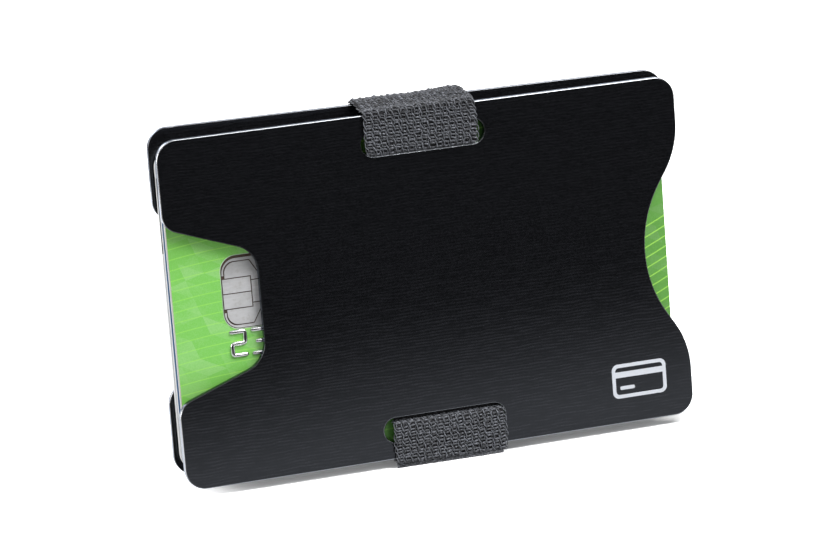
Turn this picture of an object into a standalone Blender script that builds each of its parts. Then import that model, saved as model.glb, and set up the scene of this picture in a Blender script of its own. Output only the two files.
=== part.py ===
"""Slim RFID card holder: two metal plates held round a stack of cards by one elastic loop.

Lengths are metres. X runs along the long edge, Y from the front plate to the back plate, Z up.
The holder stands on the sewn lap under its elastic loop, whose underside lies at Z = 0.
"""

import math

import bmesh
import bpy
from mathutils import Matrix, Vector

# Cards of the usual bank card size
CARD_LENGTH = 0.0856
CARD_HEIGHT = 0.05398
CARD_THICKNESS = 0.00076
CARD_CORNER_RADIUS = 0.00318
CARD_NAMES = ("front_card", "second_card", "blue_card", "rear_card")
CARD_SHIFT_SHARES = (0.0, 0.06, -0.24, -0.44)
CARD_TILTS = (0.0, 0.0, math.radians(0.1), math.radians(0.3))
FACE_GAP = 0.00005

# Metal plates, which reach past the cards by a margin on each side
LEFT_MARGIN = 0.00085
RIGHT_MARGIN = 0.00255
EDGE_MARGIN = 0.00201
PLATE_LENGTH = LEFT_MARGIN + CARD_LENGTH + RIGHT_MARGIN
PLATE_HEIGHT = CARD_HEIGHT + 2 * EDGE_MARGIN
PLATE_THICKNESS = 0.0010
PLATE_CORNER_RADIUS = 0.0035
PLATE_CHAMFER = 0.00012

# Thumb notch in the left edge of each plate
NOTCH_DEPTH = 0.0152
NOTCH_MOUTH = 0.0294
NOTCH_FLANK_ANGLE = math.radians(20)
NOTCH_INNER_RADIUS = 0.0048
NOTCH_MOUTH_RADIUS = 0.0032

# Shallow finger curve in the right edge of each plate
CURVE_DEPTH = 0.0069
CURVE_FLANK_ANGLE = math.radians(32.8)
CURVE_INNER_RADIUS = 0.0206
CURVE_MOUTH_RADIUS = 0.0150

# Slots that the elastic loop is threaded through, near the top and bottom edges
SLOT_LENGTH = 0.0212
SLOT_HEIGHT = 0.0042
SLOT_BAR = 0.0028
SLOT_OFFSET = 0.0003

# Play of the back plate in the elastic loop, as it was last let go
BACK_LIFT = 0.0008
BACK_SKEW = math.radians(0.55)

# Chip module let into the front card
CHIP_LENGTH = 0.0130
CHIP_HEIGHT = 0.0122
CHIP_CORNER_RADIUS = 0.0026
CHIP_FROM_LEFT = 0.00835
CHIP_ABOVE_CENTRE = 0.00258
CARRIER_THICKNESS = 0.00020
CONTACT_THICKNESS = 0.00010
CONTACT_PROUD = 0.00002

# Metal on the chip's carrier: an open rim with two wedges, and nine pads inside it
METAL_SIDE_MARGIN = 0.00018
METAL_TOP_MARGIN = 0.00048
METAL_BOTTOM_MARGIN = 0.00012
CONTACT_PITCH = 0.00254
CONTACT_GAP = 0.00018
SIDE_CONTACT_LENGTH = 0.0047
MIDDLE_CONTACT_HEIGHT = 0.0036
PAD_CORNER_RADIUS = 0.0018
RIM_SIDE = 0.00028
RIM_END = 0.00045
RIM_STOP = 0.00056
WEDGE_LENGTH = 0.0030
WEDGE_DEPTH = 0.0025

# Elastic loop
BAND_WIDTH = 0.0196
BAND_THICKNESS = 0.0008
LAP_THICKNESS = 0.0007
BAND_PRESSED_THICKNESS = 0.00045
BAND_PINCHED_WIDTH = 0.0174
BAND_EDGE_GAP = 0.0001
BAND_TOP_DRIFT = -0.0004
BAND_BOTTOM_DRIFT = 0.0006
LAP_DRIFT = -0.0001
BAND_WIDENING = 0.0040
BAND_CROSSING_GAP = 0.0002
LEVEL_SHARE = 0.6
LAP_SHARES = (-0.2, 0.9)

# Roundness of the meshes
ARC_STEP = math.radians(7.5)
CROSSING_STEPS = 12
BEND_STEPS = 6
WRAP_STEPS = 10
EDGE_STEPS = 4

# Places worked out from the sizes above
STACK_DEPTH = len(CARD_NAMES) * (CARD_THICKNESS + FACE_GAP) - FACE_GAP
BAND_ROOM = BAND_PRESSED_THICKNESS + FACE_GAP
HALF_DEPTH = STACK_DEPTH / 2 + FACE_GAP + BAND_ROOM + PLATE_THICKNESS
BAND_STANDOFF = BAND_EDGE_GAP + BAND_THICKNESS / 2
PLATE_BASE = LAP_THICKNESS + FACE_GAP + BAND_THICKNESS + BAND_EDGE_GAP
PLATE_MIDDLE = PLATE_BASE + PLATE_HEIGHT / 2
BACK_RISE = BAND_WIDTH * math.sin(BACK_SKEW)
BACK_SLACK = max(0.0, BACK_LIFT - BACK_RISE)


def clear_scene():
    """Remove whatever the scene holds."""
    for thing in list(bpy.data.objects):
        bpy.data.objects.remove(thing, do_unlink=True)


def material(name, colour, roughness, metallic=0.0):
    """Return a Principled material with one colour."""
    made = bpy.data.materials.new(name)
    made.use_nodes = True
    shader = made.node_tree.nodes["Principled BSDF"]
    shader.inputs["Base Color"].default_value = (*colour, 1.0)
    shader.inputs["Roughness"].default_value = roughness
    shader.inputs["Metallic"].default_value = metallic
    return made


def anodised_metal(name):
    """Black anodised, brushed aluminium."""
    return material(name, (0.022, 0.022, 0.025), 0.40, 0.8)


def elastic_cloth(name):
    """Charcoal woven elastic."""
    return material(name, (0.075, 0.077, 0.083), 0.90)


def card_plastic(name, colour):
    """Smooth card laminate."""
    return material(name, colour, 0.35)


def rounded_outline(corners):
    """Turn (x, z, radius) corners into a closed outline whose corners are arcs."""
    outline = []
    for index, (x, z, radius) in enumerate(corners):
        corner = Vector((x, z))
        before = (Vector(corners[index - 1][:2]) - corner).normalized()
        after = (Vector(corners[(index + 1) % len(corners)][:2]) - corner).normalized()
        if radius == 0:
            outline.append(corner)
            continue
        half_angle = before.angle(after) / 2
        middle = corner + (before + after).normalized() * radius / math.sin(half_angle)
        reach = radius / math.tan(half_angle)
        start = corner + before * reach - middle
        turn = math.pi - 2 * half_angle
        if before.cross(after) > 0:
            turn = -turn
        steps = max(2, math.ceil(abs(turn) / ARC_STEP))
        for step in range(steps + 1):
            outline.append(middle + Matrix.Rotation(turn * step / steps, 2) @ start)
    return outline


def rectangle_outline(length, height, radius, x=0.0, z=0.0):
    """Rectangle round (x, z) with the same radius at its corners."""
    return rounded_outline([
        (x - length / 2, z - height / 2, radius),
        (x + length / 2, z - height / 2, radius),
        (x + length / 2, z + height / 2, radius),
        (x - length / 2, z + height / 2, radius),
    ])


def add_slab(mesh, outer, holes, low, high):
    """Add a slab with holes to a bmesh, between two heights along Y."""
    edges = []
    for outline in [outer, *holes]:
        points = [mesh.verts.new((point.x, low, point.y)) for point in outline]
        edges += [mesh.edges.new(pair) for pair in zip(points, points[1:] + points[:1])]
    filled = bmesh.ops.triangle_fill(mesh, edges=edges, use_beauty=True)
    faces = [item for item in filled["geom"] if isinstance(item, bmesh.types.BMFace)]
    grown = bmesh.ops.extrude_face_region(mesh, geom=faces, use_keep_orig=True)
    tops = [item for item in grown["geom"] if isinstance(item, bmesh.types.BMVert)]
    bmesh.ops.translate(mesh, verts=tops, vec=(0, high - low, 0))


def finish(name, mesh, look, parent=None, place=(0, 0, 0), tilt=0.0):
    """Turn a bmesh into a named object with its faces pointing out."""
    bmesh.ops.recalc_face_normals(mesh, faces=mesh.faces)
    data = bpy.data.meshes.new(name)
    mesh.to_mesh(data)
    mesh.free()
    data.materials.append(look)
    thing = bpy.data.objects.new(name, data)
    bpy.context.collection.objects.link(thing)
    thing.parent = parent
    thing.location = place
    thing.rotation_euler = (0, tilt, 0)
    return thing


def slab(name, outer, holes, low, high, look, parent=None, place=(0, 0, 0), tilt=0.0):
    """One object made of one slab."""
    mesh = bmesh.new()
    add_slab(mesh, outer, holes, low, high)
    return finish(name, mesh, look, parent, place, tilt)


def chamfer(thing, width):
    """Break the sharp edges all round."""
    modifier = thing.modifiers.new("chamfer", "BEVEL")
    modifier.width = width
    modifier.segments = 1
    modifier.limit_method = "ANGLE"


def seat(name, place, tilt=0.0):
    """Empty that carries one plate and its run of the elastic."""
    empty = bpy.data.objects.new(name, None)
    bpy.context.collection.objects.link(empty)
    empty.location = place
    empty.rotation_euler = (0, tilt, 0)
    return empty


def plate_outline():
    """Plate edge with the thumb notch on the left and the finger curve on the right."""
    side = PLATE_LENGTH / 2
    top = PLATE_HEIGHT / 2
    bay = NOTCH_MOUTH / 2
    bay_floor = bay - NOTCH_DEPTH * math.tan(NOTCH_FLANK_ANGLE)
    overshoot = CURVE_INNER_RADIUS * (1 / math.cos(CURVE_FLANK_ANGLE) - 1)
    dip = CURVE_DEPTH + overshoot
    flank = dip / math.tan(CURVE_FLANK_ANGLE)
    return rounded_outline([
        (-side, -top, PLATE_CORNER_RADIUS),
        (side, -top, PLATE_CORNER_RADIUS),
        (side, -flank, CURVE_MOUTH_RADIUS),
        (side - dip, 0, CURVE_INNER_RADIUS),
        (side, flank, CURVE_MOUTH_RADIUS),
        (side, top, PLATE_CORNER_RADIUS),
        (-side, top, PLATE_CORNER_RADIUS),
        (-side, bay, NOTCH_MOUTH_RADIUS),
        (-side + NOTCH_DEPTH, bay_floor, NOTCH_INNER_RADIUS),
        (-side + NOTCH_DEPTH, -bay_floor, NOTCH_INNER_RADIUS),
        (-side, -bay, NOTCH_MOUTH_RADIUS),
    ])


def slot_outline(side):
    """Slot with round ends near the top (side 1) or bottom (side -1) edge."""
    height = side * (PLATE_HEIGHT / 2 - SLOT_BAR - SLOT_HEIGHT / 2)
    almost_round = SLOT_HEIGHT / 2 * (1 - 1e-6)
    return rectangle_outline(SLOT_LENGTH, SLOT_HEIGHT, almost_round, SLOT_OFFSET, height)


def make_plate(name, parent, inward):
    """One plate, whose outer face lies on its seat and whose thickness runs inward."""
    slots = [slot_outline(side) for side in (1, -1)]
    low, high = sorted((0, inward * PLATE_THICKNESS))
    look = anodised_metal(name)
    plate = slab(name, plate_outline(), slots, low, high, look, parent)
    chamfer(plate, PLATE_CHAMFER)
    return plate


def ease(share):
    """Smooth step from 0 to 1."""
    share = min(1.0, max(0.0, share))
    return share * share * (3 - 2 * share)


def mix(start, end, share):
    """Value between two others."""
    return start + (end - start) * share


def half_run(side, slack, drift):
    """Stations of the elastic from mid height to one edge: (depth, height, shift, width, thickness).

    The elastic lies flat inside the plate, crosses its slot, runs outside over the bar of
    metal beyond the slot and turns over the edge of the plate.
    """
    slot_far = PLATE_HEIGHT / 2 - SLOT_BAR
    slot_near = slot_far - SLOT_HEIGHT
    inside = PLATE_THICKNESS + FACE_GAP + BAND_PRESSED_THICKNESS / 2
    edge = PLATE_HEIGHT / 2 + slack
    stations = []
    for step in range(BEND_STEPS):
        share = step / BEND_STEPS
        height = slot_near - BAND_WIDENING * (1 - share)
        width = mix(BAND_WIDTH, BAND_PINCHED_WIDTH, ease(share))
        stations.append((inside, height, 0.0, width, BAND_PRESSED_THICKNESS))
    for step in range(CROSSING_STEPS + 1):
        share = ease(step / CROSSING_STEPS)
        height = mix(slot_near + BAND_CROSSING_GAP, slot_far, step / CROSSING_STEPS)
        depth = mix(inside, -BAND_STANDOFF, share)
        width = mix(BAND_PINCHED_WIDTH, BAND_WIDTH, share)
        thickness = mix(BAND_PRESSED_THICKNESS, BAND_THICKNESS, share)
        stations.append((depth, height, drift * share, width, thickness))
    for step in range(BEND_STEPS + 1):
        angle = math.pi / 2 * step / BEND_STEPS
        depth = -BAND_STANDOFF * math.cos(angle)
        height = edge + BAND_STANDOFF * math.sin(angle)
        stations.append((depth, height, drift, BAND_WIDTH, BAND_THICKNESS))
    stations.append((PLATE_THICKNESS, edge + BAND_STANDOFF, drift, BAND_WIDTH, BAND_THICKNESS))
    return [(depth, side * height, *rest) for depth, height, *rest in stations]


def section(centre, across, outward, width, thickness):
    """Points round one cross-section of the elastic, whose two edges are half round."""
    radius = thickness / 2
    points = []
    for edge in (1, -1):
        for step in range(EDGE_STEPS + 1):
            angle = math.pi * (step / EDGE_STEPS - 1 / 2)
            along = edge * (width / 2 - radius + radius * math.cos(angle))
            points.append(centre + across * along + outward * edge * radius * math.sin(angle))
    return points


def skin(mesh, rings):
    """Join rings of points into one closed tube."""
    rows = [[mesh.verts.new(point) for point in ring] for ring in rings]
    for near, far in zip(rows, rows[1:]):
        for index in range(len(near)):
            following = (index + 1) % len(near)
            mesh.faces.new((near[index], near[following], far[following], far[index]))
    mesh.faces.new(rows[0])
    mesh.faces.new(rows[-1])


def make_run(name, parent, inward, slack):
    """Run of the elastic that stays with one plate, from its bottom edge to its top edge."""
    below = half_run(-1, slack, BAND_BOTTOM_DRIFT)
    above = half_run(1, 0.0, BAND_TOP_DRIFT)
    stations = below[::-1] + above
    rings = []
    for index, (depth, height, shift, width, thickness) in enumerate(stations):
        before = stations[max(0, index - 1)]
        after = stations[min(len(stations) - 1, index + 1)]
        along = Vector((0, inward * (after[0] - before[0]), after[1] - before[1])).normalized()
        centre = Vector((SLOT_OFFSET + shift, inward * depth, height))
        across = Vector((1, 0, 0))
        rings.append(section(centre, across, along.cross(across), width, thickness))
    mesh = bmesh.new()
    skin(mesh, rings)
    run = finish(name, mesh, elastic_cloth(name), parent)
    smooth(run)
    return run


def smooth(thing):
    """Shade round stretches smooth and keep the sharp edges."""
    thing.data.shade_smooth()
    thing.data.set_sharp_from_angle(angle=math.radians(40))


def wrap_rings(side, slack, drift, thickness, drop=0.0, shares=(0.0, 1.0)):
    """Cross-sections of the elastic from the front plate's run to the back plate's run.

    drop moves the ribbon outward. The shares say where on the way it starts and ends.
    """
    reach = PLATE_HEIGHT / 2 + BAND_STANDOFF + drop
    inner_face = HALF_DEPTH - PLATE_THICKNESS - FACE_GAP
    back = Matrix.Translation((0, 0, BACK_LIFT)) @ Matrix.Rotation(BACK_SKEW, 4, "Y")
    level = LEVEL_SHARE if side < 0 else 0.0
    start = Vector((SLOT_OFFSET + drift, -inner_face, side * reach))
    end = back @ Vector((SLOT_OFFSET + drift, inner_face, side * (reach + slack)))
    rings = []
    for step in range(WRAP_STEPS + 1):
        part = mix(*shares, step / WRAP_STEPS)
        rise = ease((part - level) / (1 - level))
        centre = Vector((mix(start.x, end.x, part), mix(start.y, end.y, part), mix(start.z, end.z, rise)))
        across = Matrix.Rotation(BACK_SKEW * rise, 3, "Y") @ Vector((1, 0, 0))
        outward = across.cross(Vector((0, 1, 0)))
        rings.append(section(centre, across, outward, BAND_WIDTH, thickness))
    return rings


def make_wrap(name, parent, rings):
    """Stretch of the elastic that spans the cards from plate to plate."""
    mesh = bmesh.new()
    skin(mesh, rings)
    wrap = finish(name, mesh, elastic_cloth(name), parent)
    wrap.location.y = HALF_DEPTH
    smooth(wrap)
    return wrap


def make_elastic(front, back):
    """The elastic loop: a run in each plate, the wraps between them and the lap sewn under it."""
    make_run("elastic_band_front", front, 1, 0.0)
    make_run("elastic_band_back", back, -1, BACK_SLACK)
    over = wrap_rings(1, 0.0, BAND_TOP_DRIFT, BAND_THICKNESS)
    make_wrap("elastic_band_top", front, over)
    under = wrap_rings(-1, BACK_SLACK, BAND_BOTTOM_DRIFT, BAND_THICKNESS)
    make_wrap("elastic_band_bottom", front, under)
    drop = (BAND_THICKNESS + LAP_THICKNESS) / 2 + FACE_GAP
    lap = wrap_rings(-1, BACK_SLACK, LAP_DRIFT, LAP_THICKNESS, drop, LAP_SHARES)
    make_wrap("elastic_band_lap", front, lap)


def chip_place():
    """Centre of the chip on the front card."""
    return CHIP_FROM_LEFT + CHIP_LENGTH / 2 - CARD_LENGTH / 2, CHIP_ABOVE_CENTRE


def cut_chip_pocket(card):
    """Pocket in the face of the front card for the chip module."""
    x, z = chip_place()
    depth = CARRIER_THICKNESS + CONTACT_THICKNESS + 2 * FACE_GAP - CONTACT_PROUD
    floor = depth - CARD_THICKNESS / 2
    around = 2 * FACE_GAP
    outline = rectangle_outline(
        CHIP_LENGTH + around, CHIP_HEIGHT + around, CHIP_CORNER_RADIUS + FACE_GAP, x, z)
    look = card_plastic("chip_pocket", (0.5, 0.5, 0.5))
    cutter = slab("chip_pocket", outline, [], -CARD_THICKNESS, floor, look, card)
    cutter.hide_render = True
    cutter.display_type = "WIRE"
    cut = card.modifiers.new("chip pocket", "BOOLEAN")
    cut.object = cutter
    cut.solver = "EXACT"


def metal_field():
    """Half length, half height and middle height of the area that the chip's metal covers."""
    half_length = CHIP_LENGTH / 2 - METAL_SIDE_MARGIN
    half_height = (CHIP_HEIGHT - METAL_TOP_MARGIN - METAL_BOTTOM_MARGIN) / 2
    return half_length, half_height, (METAL_BOTTOM_MARGIN - METAL_TOP_MARGIN) / 2


def raised(corners, flip, turn, middle):
    """Outline from (x, z, radius) corners, mirrored by flip and turn and moved up to the middle."""
    return rounded_outline([(x * flip, middle + z * turn, radius) for x, z, radius in corners])


def rim_outline():
    """Rim with a wedge at the middle of its top and bottom, open on the left between its ends."""
    length, height, middle = metal_field()
    radius = CHIP_CORNER_RADIUS - METAL_SIDE_MARGIN
    stop = CONTACT_PITCH + RIM_STOP
    inner_length = length - RIM_SIDE
    inner_height = height - RIM_END
    wedge = WEDGE_LENGTH / 2
    point = inner_height - WEDGE_DEPTH
    upper = [
        (-inner_length, stop, 0), (-inner_length, inner_height, PAD_CORNER_RADIUS),
        (-wedge, inner_height, 0), (0, point, 0), (wedge, inner_height, 0),
        (inner_length, inner_height, PAD_CORNER_RADIUS),
    ]
    outside = [(length, height, radius), (-length, height, radius), (-length, stop, 0)]
    lower = [(x, -z, corner) for x, z, corner in reversed(upper)]
    outside_lower = [(x, -z, corner) for x, z, corner in reversed(outside)]
    return raised(upper + lower + outside_lower + outside, 1, 1, middle)


def contact_outlines():
    """Names and outlines of the pads inside the rim: four a side and one between."""
    length, height, middle = metal_field()
    outer = length - RIM_SIDE - CONTACT_GAP
    top = height - RIM_END - CONTACT_GAP
    inner = length - SIDE_CONTACT_LENGTH
    column = inner - CONTACT_GAP
    slit = CONTACT_GAP / 2
    lean = WEDGE_LENGTH / 2 / WEDGE_DEPTH
    shoulder = WEDGE_LENGTH / 2 + CONTACT_GAP * (math.hypot(1, lean) - lean)
    point = top - (shoulder - slit) / lean
    floor = MIDDLE_CONTACT_HEIGHT / 2 + CONTACT_GAP
    corner_pad = [
        (-outer, CONTACT_PITCH + slit, 0), (-outer, top, PAD_CORNER_RADIUS), (-shoulder, top, 0),
        (-slit, point, 0), (-slit, floor, 0), (-column, floor, 0), (-column, CONTACT_PITCH + slit, 0),
    ]
    outlines = []
    for flip, edge in ((1, length), (-1, outer)):
        side_pad = [
            (-edge, slit, 0), (-edge, CONTACT_PITCH - slit, 0),
            (-inner, CONTACT_PITCH - slit, 0), (-inner, slit, 0),
        ]
        for pad, turn in ((corner_pad, 1), (side_pad, 1), (side_pad, -1), (corner_pad, -1)):
            name = f"chip_contact_{len(outlines) + 1}"
            outlines.append((name, raised(pad, flip, turn, middle)))
    between = rectangle_outline(2 * column, MIDDLE_CONTACT_HEIGHT, 0, 0, middle)
    outlines.append(("chip_ground_contact", between))
    return outlines


def make_chip(card):
    """Chip module: a carrier in the pocket, and the metal rim and pads on it."""
    x, z = chip_place()
    top = -CARD_THICKNESS / 2 - CONTACT_PROUD
    under = top + CONTACT_THICKNESS
    carrier_top = under + FACE_GAP
    outline = rectangle_outline(CHIP_LENGTH, CHIP_HEIGHT, CHIP_CORNER_RADIUS)
    brown = card_plastic("chip_carrier", (0.10, 0.06, 0.035))
    slab("chip_carrier", outline, [], carrier_top, carrier_top + CARRIER_THICKNESS, brown, card, (x, 0, z))
    silver = material("chip_contacts", (0.50, 0.50, 0.51), 0.30, 1.0)
    slab("chip_rim", rim_outline(), [], top, under, silver, card, (x, 0, z))
    for name, pad in contact_outlines():
        slab(name, pad, [], top, under, silver, card, (x, 0, z))


def make_cards():
    """Stack of cards between the plates, pushed slightly out of line."""
    colours = ((0.25, 0.60, 0.16), (0.80, 0.80, 0.80), (0.08, 0.20, 0.42), (0.78, 0.78, 0.78))
    outline = rectangle_outline(CARD_LENGTH, CARD_HEIGHT, CARD_CORNER_RADIUS)
    left = -PLATE_LENGTH / 2 + LEFT_MARGIN
    cards = []
    for index, name in enumerate(CARD_NAMES):
        x = left + CARD_LENGTH / 2 + CARD_SHIFT_SHARES[index] * LEFT_MARGIN
        y = -STACK_DEPTH / 2 + CARD_THICKNESS / 2 + index * (CARD_THICKNESS + FACE_GAP)
        look = card_plastic(name, colours[index])
        half = CARD_THICKNESS / 2
        tilt = CARD_TILTS[index]
        cards.append(slab(name, outline, [], -half, half, look, None, (x, y, PLATE_MIDDLE), tilt))
    cut_chip_pocket(cards[0])
    make_chip(cards[0])


def main():
    """Build the card holder."""
    clear_scene()
    front = seat("front_plate_seat", (0, -HALF_DEPTH, PLATE_MIDDLE))
    back = seat("back_plate_seat", (0, HALF_DEPTH, PLATE_MIDDLE + BACK_LIFT), BACK_SKEW)
    make_plate("front_plate", front, 1)
    make_plate("back_plate", back, -1)
    make_elastic(front, back)
    make_cards()


main()
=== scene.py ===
"""Looks of a slim card holder: brushed plates, a knitted elastic loop and a stack of cards.

Lengths are metres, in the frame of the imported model: X along the long edge, Y to the back, Z up.
"""

import functools
import math

import bpy
import numpy as np
from bpy.props import FloatProperty, FloatVectorProperty, IntProperty, PointerProperty
from mathutils import Matrix, Vector
from mathutils.geometry import tessellate_polygon


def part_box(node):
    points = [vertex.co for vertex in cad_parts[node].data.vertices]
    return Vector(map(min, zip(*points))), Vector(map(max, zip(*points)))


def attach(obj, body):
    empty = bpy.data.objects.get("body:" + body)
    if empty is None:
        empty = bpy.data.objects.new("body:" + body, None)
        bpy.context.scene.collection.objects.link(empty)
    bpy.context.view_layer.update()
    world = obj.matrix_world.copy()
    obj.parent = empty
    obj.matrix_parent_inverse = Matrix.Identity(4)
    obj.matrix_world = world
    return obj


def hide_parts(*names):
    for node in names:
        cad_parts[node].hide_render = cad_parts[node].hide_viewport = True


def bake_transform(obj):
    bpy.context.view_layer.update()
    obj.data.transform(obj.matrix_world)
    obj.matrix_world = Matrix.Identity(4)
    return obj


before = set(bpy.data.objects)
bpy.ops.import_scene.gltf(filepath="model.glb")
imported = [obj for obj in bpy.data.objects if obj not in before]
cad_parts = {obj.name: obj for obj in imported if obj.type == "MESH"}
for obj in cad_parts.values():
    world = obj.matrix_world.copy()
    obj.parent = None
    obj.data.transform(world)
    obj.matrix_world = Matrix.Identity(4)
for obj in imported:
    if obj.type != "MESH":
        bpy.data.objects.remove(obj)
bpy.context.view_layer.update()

bl_info = {
    "name": "Card holder looks",
    "version": (1, 0, 0),
    "blender": (4, 5, 0),
    "location": "View3D > Sidebar > Card holder",
    "description": "Builds the plates, elastic loop, cards and studio of a slim card holder",
    "category": "Object",
}

MM = 0.001
PLATE_LOW, PLATE_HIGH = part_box("front_plate")
BACK_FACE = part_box("back_plate")[1].y
CARD_LOW, CARD_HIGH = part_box("front_card")
MIDDLE = (PLATE_LOW.z + PLATE_HIGH.z) / 2
HALF_HEIGHT = (PLATE_HIGH.z - PLATE_LOW.z) / 2
HALF_DEPTH, INNER_FACE = -PLATE_LOW.y, -PLATE_HIGH.y
PLAY = 0.05 * MM
ARC_STEP = math.radians(3)
YARN_SIDES = 6
# Colour of the painted shade on parts of the plates' cut edges.
DARK_EDGE = (0.05, 0.05, 0.055)


def length(name, description, default):
    """A size that the sidebar shows in the scene's unit of length."""
    return FloatProperty(
        name=name, description=description, default=default, unit="LENGTH", precision=5)


def degrees(name, description, default):
    """An angle whose default is given in degrees."""
    return FloatProperty(
        name=name, description=description, default=math.radians(default), subtype="ANGLE")


def watts(name, description, default):
    """The power of a lamp."""
    return FloatProperty(name=name, description=description, default=default, unit="POWER")


def colour(name, description, default):
    """A colour that the sidebar shows as a swatch."""
    return FloatVectorProperty(
        name=name, description=description, default=default, subtype="COLOR", min=0, max=1, size=3)


class PlateSizes(bpy.types.PropertyGroup):
    """Sizes of the two metal plates."""

    corner_radius: length("Corner radius", "Radius of the plate's four corners", 3.5 * MM)
    edge_radius: length("Edge radius", "Rounding of the plate's outer edges", 0.16 * MM)
    inner_edge_radius: length("Inner edge radius", "Rounding of the plate's inner edges", 0.08 * MM)
    line_pitch: length("Line pitch", "Spacing of the brushed lines", 0.525 * MM)
    notch_depth: length("Notch depth", "How far the thumb notch reaches in", 15.2 * MM)
    notch_mouth: length("Notch mouth", "Height of the thumb notch at the edge", 29.4 * MM)
    notch_slant: degrees("Notch slant", "Slant of the notch's upper and lower sides", 20)
    notch_inner_radius: length("Notch inner radius", "Radius at the floor of the notch", 4.8 * MM)
    notch_mouth_radius: length("Notch mouth radius", "Radius at the mouth of the notch", 3.2 * MM)
    curve_depth: length("Curve depth", "How far the finger curve reaches in", 6.9 * MM)
    curve_slope: degrees("Curve slope", "Slope of the finger curve's flanks", 32.8)
    curve_inner_radius: length("Curve inner radius", "Radius of the finger curve", 20.6 * MM)
    curve_mouth_radius: length("Curve mouth radius", "Radius beside the finger curve", 15.0 * MM)
    slot_length: length("Slot length", "Length of a slot for the elastic", 21.2 * MM)
    slot_height: length("Slot height", "Height of a slot for the elastic", 4.2 * MM)
    slot_bar: length("Slot bar", "Metal left between a slot and the edge", 2.8 * MM)
    slot_shift: length("Slot shift", "Middle of the slots from the plate's middle", 0.3 * MM)
    back_lift: length("Back plate lift", "How much higher the back plate sits", 0.95 * MM)
    back_slip: length("Back plate slip", "Sideways place of the back plate", -0.25 * MM)
    back_skew: degrees("Back plate skew", "Turn of the back plate in its own plane", 0.55)


class ElasticSizes(bpy.types.PropertyGroup):
    """Sizes of the knitted elastic loop."""

    width: length("Width", "Width of the elastic", 19.4 * MM)
    thickness: length("Thickness", "Thickness outside the plates", 0.8 * MM)
    pressed: length("Pressed thickness", "Thickness between plate and card", 0.4 * MM)
    top_shift: length("Top shift", "Sideways place of the loop at the top", -0.03 * MM)
    bottom_shift: length("Bottom shift", "Sideways place of the loop at the bottom", 1.0 * MM)
    back_shift: length("Back shift", "Sideways step of the top from front to back", -0.55 * MM)
    lap_shift: length("Lap shift", "Sideways place of the sewn lap", 0.65 * MM)
    lap_width: length("Lap width", "Width of the sewn lap", 18.4 * MM)
    top_crown: length("Top crown", "Slack that lifts the loop over the top", 0.45 * MM)
    bottom_sag: length("Bottom sag", "How much lower the loop's front bend hangs", 0.30 * MM)
    right_sag: length("Right sag", "How much lower the front bend's right end hangs", 0.30 * MM)
    row_pitch: length("Row pitch", "Spacing of the knitted rows", 0.52 * MM)
    rib_count: IntProperty(name="Ribs", description="Ribs across the elastic", default=17, min=4)
    rib_radius: length("Rib yarn radius", "Radius of the yarns in a rib", 0.085 * MM)
    row_radius: length("Row yarn radius", "Radius of the yarn in a row", 0.18 * MM)
    filaments: IntProperty(
        name="Filaments", description="Loose filaments on each stretch", default=900, min=0)


class CardSizes(bpy.types.PropertyGroup):
    """Sizes of what the front card carries."""

    digit_height: length("Digit height", "Height of the embossed digits", 3.9 * MM)
    digit_width: length("Digit width", "Width of the embossed digits", 2.25 * MM)
    digit_stroke: length("Digit stroke", "Width of a digit's stroke", 0.76 * MM)
    digit_relief: length("Digit relief", "How far a digit stands off the card", 0.36 * MM)
    digit_pitch: length("Digit pitch", "Spacing of the digits", 3.63 * MM)
    first_digit: length("First digit", "Middle of the first digit from the left edge", 10.4 * MM)
    digit_line: length("Digit line", "Middle of the digits from the card's bottom", 21.05 * MM)
    facet: length("Facet", "Size of the pale facets in the print", 3.3 * MM)
    line_pitch: length("Line pitch", "Spacing of the printed lines", 1.74 * MM)


class FinishColours(bpy.types.PropertyGroup):
    """Colours of the finishes."""

    metal: colour("Plate", "Black anodised metal", (0.0042, 0.0042, 0.0050))
    edge: colour("Cut edge", "Glossy cut edges of the plates", (0.155, 0.160, 0.170))
    yarn: colour("Yarn", "Charcoal yarn of the elastic", (0.095, 0.100, 0.114))
    core: colour("Core", "Rubber threads under the yarn", (0.016, 0.016, 0.018))
    green: colour("Green print", "Ground of the front card", (0.222, 0.630, 0.115))
    green_line: colour("Green lines", "Printed lines of the front card", (0.420, 0.860, 0.130))
    white: colour("White laminate", "Body of the plain cards", (0.90, 0.90, 0.90))
    cut: colour("Cut card", "Cut edges of the front card", (0.45, 0.40, 0.37))
    blue: colour("Blue laminate", "Body of the blue card", (0.085, 0.170, 0.330))
    silver: colour("Chip metal", "Plated pads of the chip", (0.60, 0.60, 0.61))
    board: colour("Chip board", "Brown board under the pads", (0.060, 0.034, 0.022))
    foil: colour("Digit foil", "Silver foil on the digits", (0.72, 0.73, 0.74))
    mark: colour("Printed mark", "White ink on the front plate", (0.71, 0.74, 0.80))


class StageSizes(bpy.types.PropertyGroup):
    """Camera and lamps."""

    azimuth: degrees("Azimuth", "Camera's turn to the left", 16.781)
    elevation: degrees("Elevation", "Camera's height as an angle", 12.175)
    roll: degrees("Roll", "Camera's roll", -4.549)
    distance: length("Distance", "Camera to the point it looks at", 617.74 * MM)
    target_x: length("Target X", "Point that the camera looks at", -1.188 * MM)
    target_z: length("Target Z", "Point that the camera looks at", 30.492 * MM)
    lens: FloatProperty(name="Lens", description="Focal length in millimetres", default=160.0)
    key_power: watts("Overhead", "Power of the overhead box", 5.6)
    rear_power: watts("Rear", "Power of the rear box", 2.0)
    left_power: watts("Left box", "Power of the box on the left", 5.0)
    fill: FloatProperty(name="Fill", description="Level of the light from all round", default=0.3)


# Shader expressions


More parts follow.
